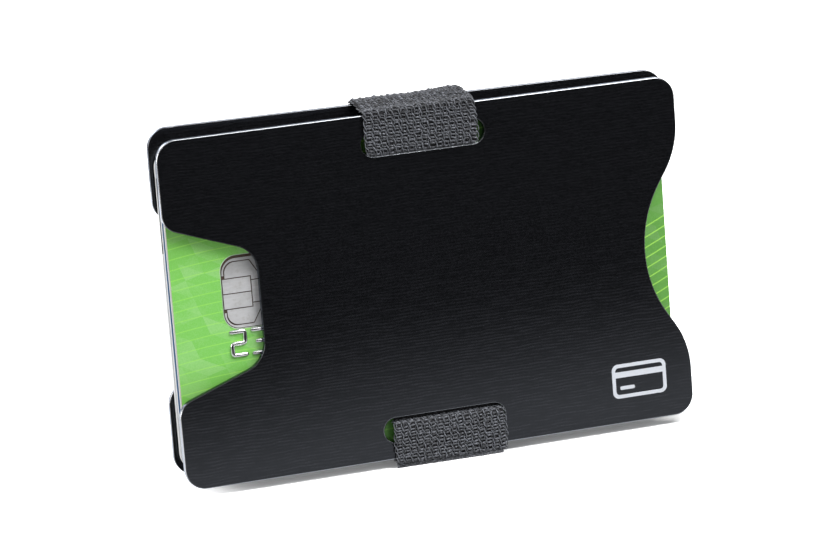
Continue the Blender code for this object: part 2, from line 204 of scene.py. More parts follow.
class Socket:
    """A shader socket that takes part in Python arithmetic."""

    def __init__(self, graph, socket):
        self.graph = graph
        self.socket = socket

    def __add__(self, other):
        return self.graph.maths("ADD", self, other)

    def __sub__(self, other):
        return self.graph.maths("SUBTRACT", self, other)

    def __rsub__(self, other):
        return self.graph.maths("SUBTRACT", other, self)

    def __mul__(self, other):
        return self.graph.maths("MULTIPLY", self, other)

    def __truediv__(self, other):
        return self.graph.maths("DIVIDE", self, other)

    def __rtruediv__(self, other):
        return self.graph.maths("DIVIDE", other, self)

    def __abs__(self):
        return self.graph.maths("ABSOLUTE", self)

    __radd__ = __add__
    __rmul__ = __mul__


class Graph:
    """Nodes of one material or world."""

    def __init__(self, tree):
        self.tree = tree
        tree.nodes.clear()

    def node(self, kind, settings=None, sockets=None, output=0):
        """Add a node: its settings first, then the values or links of its sockets.

        Gives the output that is asked for, or a list of them for a tuple.
        """
        made = self.tree.nodes.new(kind)
        for name, value in (settings or {}).items():
            setattr(made, name, value)
        for name, value in (sockets or {}).items():
            if isinstance(value, Socket):
                self.tree.links.new(value.socket, made.inputs[name])
            else:
                made.inputs[name].default_value = value
        if isinstance(output, tuple):
            return [Socket(self, made.outputs[name]) for name in output]
        return Socket(self, made.outputs[output]) if made.outputs else None

    def maths(self, operation, first, second=0.0):
        return self.node("ShaderNodeMath", {"operation": operation}, {0: first, 1: second})

    def limit(self, value, low, high):
        return self.maths("MINIMUM", self.maths("MAXIMUM", value, low), high)

    @functools.cached_property
    def point(self):
        """The shaded point on the piece at rest."""
        return self.node("ShaderNodeTexCoord", output="Object")

    def split(self, vector):
        """X, Y and Z of a vector."""
        return self.node("ShaderNodeSeparateXYZ", {}, {0: vector}, (0, 1, 2))

    def attribute(self, name):
        """A number that the mesh carries at each point."""
        return self.node("ShaderNodeAttribute", {"attribute_name": name}, {}, "Fac")

    def noise(self, scale, detail=2.0):
        """Noise over the piece, at one scale or at one for each axis."""
        vector = self.point
        if isinstance(scale, tuple):
            vector = self.node(
                "ShaderNodeVectorMath", {"operation": "MULTIPLY"}, {0: vector, 1: scale})
            scale = 1.0
        return self.node("ShaderNodeTexNoise", {"noise_dimensions": "3D"}, {
            "Vector": vector, "Scale": scale, "Detail": detail})

    def wave(self, value, pitch):
        """Sine wave from -1 to 1."""
        return self.maths("SINE", value * (2 * math.pi / pitch))

    def step(self, value, low, high):
        """Smooth step of a value from 0 at low to 1 at high."""
        return self.node("ShaderNodeMapRange", {"interpolation_type": "SMOOTHSTEP"}, {
            "Value": value, "From Min": low, "From Max": high})

    def past(self, value, start, full):
        """Smooth step of a length from 0 to 1 between two places in millimetres."""
        return self.step(value, start * MM, full * MM)

    def window(self, value, start, full, fade, gone):
        """1 between full and fade and 0 beyond start and gone, all in millimetres."""
        return self.past(value, start, full) * self.past(value, gone, fade)

    def tint(self, factor, first, second):
        """Colour between two others."""
        return self.node("ShaderNodeMix", {"data_type": "RGBA"}, {
            0: factor, 6: solid(first), 7: solid(second)}, 2)

    def vary(self, factor, shade, low, high):
        """Colour that runs from low to high times a shade."""
        return self.tint(factor, scaled(shade, low), scaled(shade, high))

    def layers(self, base, *coats):
        """Base colour under coats, each given as its mask and its colour."""
        for mask, shade in coats:
            base = self.tint(mask, base, shade)
        return base

    def bump(self, height, strength, distance):
        return self.node("ShaderNodeBump", {}, {
            "Height": height, "Strength": strength, "Distance": distance})

    def output(self, shader):
        self.node("ShaderNodeOutputMaterial", {}, {"Surface": shader})

    def surface(self, sockets):
        """Principled surface on the material's output."""
        self.output(self.node("ShaderNodeBsdfPrincipled", {}, sockets))


def solid(shade):
    """A colour with full alpha, or a colour socket as it is."""
    return shade if isinstance(shade, Socket) else (*shade, 1.0)


def scaled(shade, level):
    """A colour made darker or paler."""
    return [level * part for part in shade]


def grey(level):
    return (level, level, level)


def new_graph(name):
    """A new material and its empty graph."""
    material = bpy.data.materials.new(name)
    material.use_nodes = True
    return material, Graph(material.node_tree)


# Finishes


def anodised_metal(colours, sizes):
    """Black anodised aluminium, brushed along the long edge, with glossy cut edges, and painted
    highlights, shade and reflection.
    """
    material, graph = new_graph("black_anodised_metal")
    x, y, z = graph.split(graph.point)
    wander = graph.noise((180, 90, 260)) * (0.9 * MM)
    lines = graph.wave(z + wander, sizes.line_pitch) * 0.5 + 0.5
    weight = graph.step(graph.noise((300, 900, 1500), 1.0), 0.30, 0.65)
    streaks = graph.noise((340, 2000, 3600))
    grain = graph.step(graph.noise((2400, 2000, 4200), 1.0), 0.36, 0.64)
    brush = lines * (0.3 + weight * 0.7) * 0.62 + streaks * 0.32
    # The brushed lines get more contrast towards the plate's foot: a painted reflection of the
    # floor.
    contrast = 0.3 + graph.past(z, 38, 6) * 1.6
    level = 0.22 + (grain - 0.5) * 0.26 + (brush - 0.37) * contrast
    shade = graph.vary(level, colours.metal, 0.25, 3.0)
    # Masks for the painted light on the cut edges, by place.
    thumb = graph.past(x, -27, -28) * graph.window(z, 15, 17, 43, 45)
    foot = graph.past(z, 14, 9)
    top = graph.past(z, 59.3, 59.6)
    corner = graph.past(z - x, 100.3, 100.8) * graph.past(x, -39, -40.5)
    upper = graph.past(z, 49, 53)
    left_end = graph.past(x, -43.9, -44.35) * (1 - upper * 0.45 - graph.past(z, 23, 17) * 0.4)
    upper_rear = upper * graph.past(x, -40, -42) * graph.past(y, -2.9, -2.6)
    sill = graph.window(z, 52.1, 52.4, 52.9, 53.1) * graph.window(x, -11, -10, 9.2, 9.9)
    # Painted shade in the thumb notch, at the top wall's back and at the upper rear left; painted
    # highlights at the foot, on the top wall, round the upper left corner, down the left end and on
    # the top slot's lower edge.
    rim = graph.layers(
        colours.edge, (thumb * 0.65, grey(0.0)), (foot * 0.5, (0.50, 0.53, 0.58)),
        (top, (0.34, 0.35, 0.37)), (top * graph.past(y, -2.7, -2.3) * 0.55, DARK_EDGE),
        (corner, (0.40, 0.41, 0.43)), (left_end, (0.86, 0.87, 0.89)),
        (upper_rear * 0.75, DARK_EDGE), (sill, (0.80, 0.83, 0.88)))
    edge = graph.attribute("edge")
    face = 1 - edge
    # The top slot's lower edge is made less metallic, so that its painted highlight shows.
    graph.surface({
        "Base Color": graph.tint(edge, shade, rim), "Metallic": edge * (1 - sill * 0.8),
        "Specular IOR Level": 0.5, "Specular Tint": (0.82, 0.88, 1.0, 1.0),
        "Roughness": 0.21 + brush * 0.04 * face,
        "Normal": graph.bump(brush * face, 1.0, 0.006 * MM),
    })
    return material


def knit_yarn(colours):
    """Charcoal textured yarn, with paler specks and bright glints that are painted highlights."""
    material, graph = new_graph("charcoal_yarn")
    fibre = graph.noise(11000.0)
    # Painted highlights: paler specks on the filaments, and brighter glints.
    speck = graph.step(graph.noise(4300.0), 0.38, 0.68)
    glint = graph.step(graph.noise((3300, 3300, 4620), 1.0), 0.56, 0.68)
    # The strand shade that each yarn carries is its random tone with painted light added: paler
    # where a yarn lies on top, darker over the top of the loop.
    level = graph.attribute("strand") * 0.5 + speck * 0.36 + fibre * 0.15 - 0.12
    shade = graph.tint(
        glint * 0.62, graph.vary(level, colours.yarn, 0.15, 2.0), scaled(colours.yarn, 3.6))
    graph.surface({
        "Base Color": shade, "Roughness": 0.42 + fibre * 0.25, "Specular IOR Level": 0.5,
        "Sheen Weight": 0.1, "Sheen Roughness": 0.5,
        "Normal": graph.bump(fibre * 0.6 + speck * 0.4, 0.6, 0.05 * MM),
    })
    return material


def knit_core(colours, elastic):
    """Dark rubber threads and inner side of the elastic, with a ribbed bump."""
    material, graph = new_graph("dark_elastic_core")
    x, y, z = graph.split(graph.point)
    ribs, rows = graph.wave(x, 1.15 * MM), graph.wave(z + y, elastic.row_pitch)
    knit = ribs * 0.3 + rows * 0.3 + graph.noise(9000.0)
    graph.surface({
        "Base Color": graph.vary(knit, colours.core, 0.7, 2.2), "Roughness": 0.8 + knit * 0.1,
        "Specular IOR Level": 0.25, "Normal": graph.bump(knit, 0.6, 0.08 * MM),
    })
    return material


def green_print(colours, sizes):
    """Green laminate print: fine arcs and pale facets on a ground that darkens to the right, with
    painted shade near the notch's edges and at the top and bottom.
    """
    material, graph = new_graph("green_print")
    x, y, z = graph.split(graph.point)
    rightward = graph.past(x, -20, 38)
    left = graph.maths("MAXIMUM", -31 * MM - x, 0.0)
    right = graph.maths("MAXIMUM", x + 20 * MM, 0.0)
    level = z + left * left * 6.2 - right * right * 3.7
    saw = abs(graph.maths("FRACT", level / sizes.line_pitch) - 0.5)
    lined = graph.maths("MAXIMUM", graph.past(x, 20, 0), graph.past(level, 22.4, 22.2))
    line = graph.step(saw, 0.075 + rightward * 0.03, 0.02) * lined
    first = (x * 0.94 + z * 0.34) / sizes.facet
    second = (z * 0.98 - x * 0.26) / sizes.facet
    across = graph.maths("FRACT", first) + graph.maths("FRACT", second)
    half = graph.maths("GREATER_THAN", across, 1.0)
    cell = graph.node("ShaderNodeCombineXYZ", {}, {
        0: graph.maths("FLOOR", first), 1: graph.maths("FLOOR", second), 2: half})
    chance = graph.node("ShaderNodeTexWhiteNoise", {"noise_dimensions": "3D"}, {"Vector": cell})
    facet = graph.step(chance * 0.6 + graph.noise((130, 0, 130), 1.0) * 0.8, 0.62, 1.0)
    grain = graph.noise(6000.0)
    # Painted shade below the notch's upper edge and above its lower edge, and darker painted shade
    # where the card shows through the slots at its top and bottom; the printed lines fade in the
    # painted shade at the bottom.
    notch_shade = graph.past(z, 35, 44) * 0.33 + graph.past(z, 24, 17) * 0.36
    inside = graph.past(z, 16.5, 8) * (0.72 - graph.past(abs(x), 16, 40) * 0.3)
    printed = graph.layers(
        colours.green, (facet * 0.15 + (grain - 0.5) * 0.3 + 0.025, (0.72, 0.92, 0.62)),
        (graph.past(z, 44, 50) * 0.95, scaled(colours.green, 0.12)),
        (notch_shade * (1 - rightward), (0.13, 0.38, 0.03)), (inside, scaled(colours.green, 0.16)),
        (rightward * 0.6, scaled(colours.green, 0.38)),
        (line * (1 - inside * 0.9) * (0.42 + rightward * 0.44), colours.green_line))
    body = graph.past(abs(y - (CARD_LOW.y + CARD_HIGH.y) / 2), 0.35, 0.32)
    graph.surface({
        "Base Color": graph.tint(body, printed, colours.cut), "Roughness": 0.30 + grain * 0.08,
        "Specular IOR Level": 0.3, "Normal": graph.bump(grain, 0.08, 0.01 * MM),
    })
    return material


def laminate(name, shade, body, middle, stripe):
    """Card laminate: a pale body, printed faces, and a dark stripe if asked."""
    material, graph = new_graph(name)
    _, y, z = graph.split(graph.point)
    grain = graph.noise(2500.0, 3.0)
    ground = graph.vary(grain, shade, 0.93, 1.05)
    if stripe:
        ground = graph.tint(graph.window(z, *stripe), ground, (0.02, 0.02, 0.022))
    core = graph.past(abs(y - middle), 0.36, 0.32)
    graph.surface({
        "Base Color": graph.tint(core, ground, body), "Roughness": 0.32 + grain * 0.08,
        "Specular IOR Level": 0.45, "Normal": graph.bump(grain, 0.05, 0.01 * MM),
    })
    return material


def chip_metal(colours):
    """Satin silver plating with faint streaks and stains, and a painted shadow on the chip's upper
    end.
    """
    material, graph = new_graph("chip_plating")
    z = graph.split(graph.point)[2]
    streak = graph.noise((900, 900, 3500), 3.0)
    stain = graph.step(graph.noise(1500.0, 4.0), 0.50, 0.72)
    # The last coat is a painted shadow of the notch's upper edge.
    shade = graph.layers(
        graph.vary(streak * 0.5 + graph.noise(420.0) * 0.5, colours.silver, 0.72, 1.22),
        (stain * 0.2, (0.30, 0.26, 0.21)), (graph.past(z, 34.2, 37.5) * 0.42, grey(0.16)))
    graph.surface({
        "Base Color": shade, "Metallic": 0.2, "Roughness": 0.34 + streak * 0.12,
        "Normal": graph.bump(streak, 0.2, 0.01 * MM),
    })
    return material


def chip_board(colours):
    """Brown epoxy board."""
    material, graph = new_graph("chip_board")
    weave = graph.noise(5000.0)
    shade = graph.vary(weave, colours.board, 0.6, 1.7)
    graph.surface({"Base Color": shade, "Roughness": 0.5 + weave * 0.2})
    return material


def pocket_lip(colours):
    """Pale milled lip of the card round the chip, partly the milled edge and partly a painted
    highlight.
    """
    material, graph = new_graph("pocket_lip")
    milled = graph.noise(4000.0)
    shade = graph.tint(milled, scaled(colours.white, 0.6), (0.55, 0.80, 0.48))
    graph.surface({"Base Color": shade, "Roughness": 0.35 + milled * 0.1})
    return material


def silver_foil(colours):
    """Bright foil on the raised digits, worn thin in specks."""
    material, graph = new_graph("silver_foil")
    wear = graph.noise(3200.0, 3.0)
    shade = graph.tint(graph.step(wear, 0.62, 0.75), colours.foil, (0.20, 0.34, 0.18))
    graph.surface({
        "Base Color": shade, "Metallic": 1.0, "Roughness": 0.08 + wear * 0.10,
        "Normal": graph.bump(wear, 0.2, 0.03 * MM),
    })
    return material


def white_ink(colours):
    """Printed white ink with a faint unevenness."""
    material, graph = new_graph("white_ink")
    uneven = graph.noise(3000.0, 3.0)
    shade = graph.vary(uneven, colours.mark, 0.88, 1.0)
    graph.surface({"Base Color": shade, "Roughness": 0.5 + uneven * 0.15})
    return material


def dress(node, material):
    """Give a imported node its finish."""
    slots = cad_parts[node].data.materials
    slots.clear()
    slots.append(material)


# Geometry


def unit(vectors):
    """The same directions with a length of 1."""
    return vectors / np.linalg.norm(vectors, axis=1)[:, None]


def left_of(along):
    """Directions a quarter turn to the left."""
    return np.c_[-along[:, 1], along[:, 0]]


def ease(share):
    """Smooth step from 0 to 1."""
    share = np.clip(share, 0, 1)
    return share * share * (3 - 2 * share)


def bell(offset, reach):
    """1 at no offset, fading out over a reach."""
    return np.exp(-(offset / reach) ** 2)


def shares(count):
    """Even shares of a run, without its start."""
    return [step / count for step in range(1, count + 1)]


def quarter(count):
    """Sine and cosine at even steps through a right angle."""
    angles = [math.pi / 2 * step / count for step in range(count + 1)]
    return [(math.sin(angle), math.cos(angle)) for angle in angles]


def rounded_outline(corners):
    """Turn (x, z, radius) corners into a closed outline whose corners are arcs."""
    outline = []
    for index, (x, z, radius) in enumerate(corners):
        corner = Vector((x, z))
        before = (Vector(corners[index - 1][:2]) - corner).normalized()
        after = (Vector(corners[(index + 1) % len(corners)][:2]) - corner).normalized()
        half_angle = before.angle(after) / 2
        middle = corner + (before + after).normalized() * radius / math.sin(half_angle)
        start = corner + before * (radius / math.tan(half_angle)) - middle
        turn = math.copysign(math.pi - 2 * half_angle, -before.cross(after))
        steps = max(2, math.ceil(abs(turn) / ARC_STEP))
        outline += [
            middle + Matrix.Rotation(turn * count / steps, 2) @ start for count in range(steps + 1)]
    return outline


def rectangle(width, height, radius, x=0.0, z=0.0):
    """Rectangle round (x, z), drawn anticlockwise, with rounded corners."""
    left, right, low, high = x - width / 2, x + width / 2, z - height / 2, z + height / 2
    return rounded_outline([
        (left, low, radius), (right, low, radius), (right, high, radius), (left, high, radius)])


def new_object(name, points, faces, material, normals=None):
    """A mesh object with one material."""
    mesh = bpy.data.meshes.new(name)
    mesh.from_pydata([tuple(point) for point in points], [], faces)
    mesh.materials.append(material)
    mesh.shade_smooth()
    if normals is not None:
        mesh.normals_split_custom_set_from_vertices([tuple(normal) for normal in normals])
    thing = bpy.data.objects.new(name, mesh)
    bpy.context.scene.collection.objects.link(thing)
    return thing


def point_values(thing, name, values):
    """Store a number at each point of a mesh, for its material to read."""
    thing.data.attributes.new(name, "FLOAT", "POINT").data.foreach_set("value", values)


def ring_faces(starts, sides, anticlockwise=True):
    """Faces between rings of points, from the number at which each ring starts."""
    faces = []
    for first, second in zip(starts, starts[1:]):
        for corner in range(sides):
            following = (corner + 1) % sides
            face = (first + corner, first + following, second + following, second + corner)
            faces.append(face if anticlockwise else (face[0], *face[:0:-1]))
    return faces


def rod_faces(rings, sides):
    """Faces of a run of rings that is closed at both ends."""
    starts = range(0, rings * sides, sides)
    return ring_faces(starts, sides) + [
        tuple(range(sides - 1, -1, -1)), tuple(range(starts[-1], rings * sides))]


def edge_normals(outline):
    """Unit normals on the right-hand side of an outline's run, one for each point."""
    points = np.array([tuple(point) for point in outline])
    ahead = unit(np.roll(points, -1, 0) - points)
    return -left_of(unit(ahead + np.roll(ahead, 1, 0)))


def rounded_slab(outlines, low, high, low_radius, high_radius, steps=4):
    """Points, faces, normals and edge values of a slab with rounded edges.

    The first outline runs anticlockwise, and the holes after it run clockwise.
    """
    points, normals, faces, edges = [], [], [], []
    caps = ([], [])
    for outline in outlines:
        flat = np.array([tuple(point) for point in outline])
        out, count = edge_normals(outline), len(flat)
        rings = []
        for side, edge, radius in ((-1, low, low_radius), (1, high, high_radius)):
            for sine, cosine in quarter(steps)[::-side]:
                inset = radius * (1 - sine)
                depth = edge - side * radius * (1 - cosine)
                rings.append(len(points))
                points += [(x, depth, z) for x, z in flat - out * inset]
                normals += [(nx * sine, side * cosine, nz * sine) for nx, nz in out]
                edges += [float(sine > 0)] * count
        faces += ring_faces(rings, count, False)
        for cap, start in zip(caps, (rings[0], rings[-1])):
            cap.append(list(range(start, start + count)))
    for side, loops in enumerate(caps):
        indices = [index for loop in loops for index in loop]
        flat_loops = [
            [Vector((points[index][0], points[index][2], 0)) for index in loop] for loop in loops]
        for triangle in tessellate_polygon(flat_loops):
            corners = [indices[corner] for corner in triangle]
            a, b, c = (Vector((points[index][0], points[index][2])) for index in corners)
            if ((b - a).cross(c - a) > 0) == (side == 1):
                corners.reverse()
            faces.append(corners)
    return points, faces, normals, edges


def tube(path, radius, sides, across):
    """Points and faces of a tube round a path, whose sections start along the given directions."""
    path = np.asarray(path, float)
    along = unit(np.gradient(path, axis=0))
    first = unit(across - (across * along).sum(1)[:, None] * along)
    second = np.cross(along, first)
    angles = 2 * math.pi * np.arange(sides) / sides
    radius = np.broadcast_to(radius, len(path))[:, None, None]
    cosine, sine = np.cos(angles)[None, :, None], np.sin(angles)[None, :, None]
    ring = cosine * first[:, None] + sine * second[:, None]
    return (path[:, None] + ring * radius).reshape(-1, 3), rod_faces(len(path), sides)


class Bundle:
    """Gathers yarns or other parts into one mesh. A yarn has a shade at each point."""

    def __init__(self):
        self.points, self.faces, self.shades = [], [], []
        self.count = 0

    def add(self, points, faces):
        self.faces += [tuple(index + self.count for index in face) for face in faces]
        self.points.append(np.asarray(points, float))
        self.count += len(points)

    def lay(self, path, radius, across, shade, sides=YARN_SIDES):
        """Lay one yarn along a path, in one shade or in one for each point of the path."""
        self.add(*tube(path, radius, sides, across))
        self.shades.append(np.repeat(np.broadcast_to(shade, len(path)), sides))

    def build(self, name, material):
        thing = new_object(name, np.concatenate(self.points), self.faces, material)
        if self.shades:
            point_values(thing, "strand", np.concatenate(self.shades).astype(np.float32))
        return thing


# Elastic loop


def back_share(y):
    """Share of the back plate's place, from 0 at the front plate to 1 at the back one."""
    return (y + INNER_FACE) / (2 * INNER_FACE)


def rearward(y):
    """0 at the holder's front face, rising smoothly to 1 towards its back."""
    return ease((y + HALF_DEPTH) / (1.3 * HALF_DEPTH))


def from_ends(reach):
    """0 at both ends of a stretch of elastic, rising to 1 where it is clear of the slots."""
    return ease(np.minimum(reach, reach[-1] - reach) / (3 * MM))


def run_depth(elastic):
    """Depth of the elastic's middle between a plate and the cards."""
    return INNER_FACE - PLAY - elastic.pressed / 2


def to_back(points, share, plates):
    """Move points of the elastic with the back plate's lift and skew, by a share from 0 to 1."""
    skew = plates.back_skew
    x, y, v = points.T
    moved_x = x * math.cos(skew) + v * math.sin(skew)
    moved_v = v * math.cos(skew) - x * math.sin(skew) + plates.back_lift
    share = ease(share)
    return np.c_[x + (moved_x - x) * share, y, MIDDLE + v + (moved_v - v) * share]


def outer_path(side, elastic, plates):
    """Centreline of the elastic outside the plates, from front slot to back slot.

    Each point is its depth and its height from the plates' middle.
    """
    standoff = 0.1 * MM + elastic.thickness / 2
    inside, face = run_depth(elastic), HALF_DEPTH + standoff
    slot_far = HALF_HEIGHT - plates.slot_bar
    start = slot_far - plates.slot_height + (0.42 if side > 0 else 1.0) * MM
    bend, turn = 0.5 * MM, 0.3 * MM
    crossing = face - bend - inside - turn
    front = [
        (-inside - turn * (1 - cosine), start - turn * (1 - sine)) for sine, cosine in quarter(6)]
    front += [(-inside - turn - crossing * share, start) for share in shares(8)[:-1]]
    front += [
        (-face + bend * (1 - sine), start + bend * (1 - cosine)) for sine, cosine in quarter(8)]
    front += [(-face, start + bend + (slot_far - start - bend) * share) for share in shares(14)]
    front += [(-face, slot_far + plates.slot_bar * share) for share in shares(10)]
    front += [
        (-HALF_DEPTH - standoff * cosine, HALF_HEIGHT + standoff * sine)
        for sine, cosine in quarter(12)[1:]]
    between = [
        (-HALF_DEPTH + 2 * HALF_DEPTH * share, HALF_HEIGHT + standoff) for share in shares(24)[:-1]]
    path = np.array(front + between + [(-y, v) for y, v in front[::-1]])
    past_bar = ease((path[:, 1] - slot_far) / (plates.slot_bar + standoff))
    behind = rearward(path[:, 0])
    slack = elastic.top_crown * behind if side > 0 else elastic.bottom_sag * (1 - behind)
    path[:, 1] += past_bar * slack * 0.5
    return path * (1, side)


def resample(path, step):
    """Points at even spacing along a path, and the spacing's running length."""
    reach = np.r_[0, np.cumsum(np.linalg.norm(np.diff(path, axis=0), axis=1))]
    count = max(2, round(reach[-1] / step))
    even = np.linspace(0, reach[-1], count + 1)
    return np.c_[[np.interp(even, reach, values) for values in path.T]].T, even


class Stretch:
    """The knit outside the plates, over their top or under their bottom.

    Heights are measured from the plates' middle, and running lengths from the front slot.
    """

    def __init__(self, side, shift, seed, elastic, plates):
        self.side, self.shift, self.elastic, self.plates = side, shift, elastic, plates
        self.random, self.bundle = np.random.default_rng(seed), Bundle()
        line, self.even = resample(outer_path(side, elastic, plates), elastic.row_pitch / 4)
        self.end = self.even[-1]
        self.out = left_of(unit(np.gradient(line, axis=0))) * side
        self.half = elastic.width / 2 - elastic.rib_radius * 1.3
        self.ribs = np.linspace(-self.half, self.half, elastic.rib_count)
        wave = 0.12 * MM * np.sin(self.even / (5.5 * MM) * 2 * math.pi + seed)
        pinch = 1 - 0.03 * (1 - from_ends(self.even))
        self.course = (*line.T, *self.out.T, back_share(line[:, 0]), pinch, wave)
        above = line[:, 1] * side - HALF_HEIGHT
        self.bend_at = self.even[np.argmax(above > -0.35 * MM)]
        self.corner_at = self.even[np.argmax(above > 0.3 * MM)]
        self.over = ease(above / (0.7 * MM)) * (side > 0)

    def along(self, where, values):
        """Values of the stretch at some running lengths."""
        return np.interp(where, self.even, values)

    def settle(self, x, rise, where):
        """Place points at x across the elastic and at a running length, raised from its middle."""
        elastic, edge = self.elastic, x / self.half
        y, v, out_y, out_v, back, squeeze, bend = (
            self.along(where, values) for values in self.course)
        across = self.shift + x * squeeze + bend * edge * 0.4
        if self.side > 0:
            rear_step = elastic.back_shift - 0.5 * MM * ease((edge - 0.3) / 0.7)
            nip = 0.35 * MM * ease((edge - 0.5) / 0.5) * bell(where - self.corner_at, 1.4 * MM)
            across = across - 0.012 * x + rear_step * ease(back) - nip
            on_top = ease((v - HALF_HEIGHT) / (0.5 * MM)) * ease((y + HALF_DEPTH) / HALF_DEPTH)
            dip = 0.45 * bell(x - 1.0 * MM, 4.0 * MM)
            v = v + elastic.top_crown * on_top * (0.5 * edge - dip)
        else:
            hang = (1 - rearward(y)) * ease((2 * MM - HALF_HEIGHT - v) / (2.5 * MM))
            v = v - elastic.right_sag * (0.36 + 0.64 * edge) * hang
        return to_back(np.c_[across, y + out_y * rise, v + out_v * rise], back, self.plates)

    def lay(self, x, rise, where, radius, shade, sides=YARN_SIDES):
        """Lay one yarn on the stretch."""
        out_y, out_v = (self.along(where, values) for values in self.out.T)
        across = np.c_[np.zeros(len(where)), out_y, out_v]
        self.bundle.lay(self.settle(x, rise, where), radius, across, shade, sides)

    def lay_ribs(self, sways):
        """Ribs of two yarns twisted round each other."""
        stitch = self.even / self.elastic.row_pitch
        stitches = np.arange(int(self.end / self.elastic.row_pitch) + 2)

        def by_stitch(low, high):
            return self.random.uniform(low, high, len(stitches))

        for number, (rib, sway) in enumerate(zip(self.ribs, sways)):
            selvedge = number in (0, len(self.ribs) - 1)
            phase = stitch / 4.4 + self.random.uniform(0, 1)
            phase = phase + np.interp(stitch, stitches, self.random.normal(0, 0.06, len(stitches)))
            for half_turn in (0, math.pi):
                twist = half_turn - 2 * math.pi * phase * self.side
                swing = np.interp(stitch, stitches, by_stitch(0.16, 0.27)) * MM * np.sin(twist)
                swell = np.interp(stitch, stitches, by_stitch(0.8, 1.2))
                rise = (0.18 + 0.13 * np.cos(twist) - 0.10 * self.over - 0.16 * selvedge) * MM
                paleness = by_stitch(0.3, 1.0)[np.floor(stitch).astype(int)]
                # Painted light: the yarn on top of the twist is paler and the one beneath darker,
                # and yarns over the top of the loop are darker.
                shade = np.clip(paleness * 0.7 + 0.75 * np.cos(twist) - 0.35 * self.over, -0.4, 1.3)
                radius = self.elastic.rib_radius * swell
                self.lay(rib + swing + sway, rise, self.even, radius, shade)

    def lay_rows(self, sways):
        """Rows of yarn that arch up between the ribs."""
        random, ribs, pitch = self.random, self.ribs, self.elastic.row_pitch
        gaps = len(ribs) - 1
        x = np.linspace(ribs[0], ribs[-1], gaps * 6 + 1)
        part = (x - ribs[0]) / (ribs[1] - ribs[0])
        gap = np.minimum(np.floor(part + 1e-6).astype(int), gaps - 1)
        part = part - gap
        arch = np.sin(math.pi * part) ** 2
        lean = 0.03 * MM * np.sin(2 * math.pi * part)
        for row in range(int(self.end / pitch)):
            base = (row + 0.5) * pitch
            over = self.along(base, self.over)
            drift = np.interp(x, ribs, random.normal(0, 0.075 * MM, len(ribs)))
            dip = random.normal(0.06 * MM, 0.04 * MM, gaps)[gap] * arch * self.side
            where = np.clip(base + drift + lean + dip, 0, self.end)
            fullness = random.uniform(0.6, 1.2, gaps)[gap]
            rise = 0.26 * MM * arch * fullness * (1 + 0.2 * over) - 0.02 * MM
            thin = 1 - 0.6 * bell(base - self.bend_at, 0.55 * MM) * (self.side > 0)
            radius = self.elastic.row_radius * thin * (0.44 + 0.52 * arch * fullness)
            sway = np.interp(x, ribs, [self.along(base, values) for values in sways])
            bead = random.uniform(0.0, 1.0, gaps)[gap]
            # Painted light: each bead is paler at its crown between the ribs, and rows over the top
            # of the loop are darker.
            shade = np.clip(bead * (0.5 + 0.5 * arch) + 0.15 * arch - 0.35 * over, -0.4, 1)
            self.lay(x + sway, rise, where, radius, shade)

    def lay_filaments(self):
        """Fine loose filaments that bow out of the knit."""
        random, steps = self.random, np.linspace(-0.5, 0.5, 4)
        for _ in range(self.elastic.filaments):
            middle = random.uniform(0.3 * MM, self.end - 0.3 * MM)
            x = random.uniform(-self.half, self.half)
            lean, size = random.normal(math.pi / 2, 0.7), random.uniform(0.35, 0.8) * MM
            bow = random.uniform(0.06, 0.16) * MM * (1 - (2 * steps) ** 2)
            x = x + steps * size * math.cos(lean) + bow * random.choice((-1, 1))
            where = np.clip(middle + steps * size * math.sin(lean), 0, self.end)
            rise = random.uniform(0.22, 0.30) * MM + bow * 0.5
            self.lay(x, rise, where, random.uniform(0.02, 0.035) * MM, random.uniform(0.5, 1.6), 3)

    def knit(self):
        """Lay all the yarns, and give their bundle."""
        knots = np.linspace(0, self.end, 24)
        sway = self.random.normal(0, 0.05 * MM, (len(self.ribs), len(knots)))
        sways = [np.interp(self.even, knots, part) for part in sway]
        self.lay_ribs(sways)
        self.lay_rows(sways)
        self.lay_filaments()
        return self.bundle


def ribbon(stations, plates):
    """Closed loop of flat sections: (x, y, height, back share, width, inner depth, outer depth)."""
    line = np.array(stations)[:, 1:3]
    out = left_of(unit(np.roll(line, -1, 0) - np.roll(line, 1, 0)))
    flat = [(across, -1.0) for across in (-0.985, -0.6, -0.2, 0.2, 0.6, 0.985)]
    lower = [(-1.0, -0.4), *flat, (1.0, -0.4)]
    profile = np.array(lower + [(-across, -depth) for across, depth in lower])
    points = []
    for (x, y, v, share, width, inner, outer), (out_y, out_v) in zip(stations, out):
        rise = (outer - inner) / 2 * profile[:, 1] + (outer + inner) / 2
        ring = np.c_[x + profile[:, 0] * width / 2, y + out_y * rise, v + out_v * rise]
        points.append(to_back(ring, share, plates))
    sides = len(profile)
    starts = [*range(0, len(stations) * sides, sides), 0]
    return np.concatenate(points), ring_faces(starts, sides, False)


def outer_stations(side, shift, elastic, plates):
    """Stations of the loop's core outside the plates, from front slot to back slot."""
    line, even = resample(outer_path(side, elastic, plates), 0.35 * MM)
    stations = []
    for (y, v), grown in zip(line, from_ends(even)):
        share = back_share(y)
        lean = elastic.back_shift * ease(share) if side > 0 else 0.0
        thicker = (elastic.thickness - elastic.pressed) / 2 - PLAY
        inner = -elastic.pressed / 2 - thicker * grown
        width = elastic.width * (0.955 + 0.02 * grown)
        stations.append((shift + lean, y, v, share, width, inner, 0.0))
    return stations


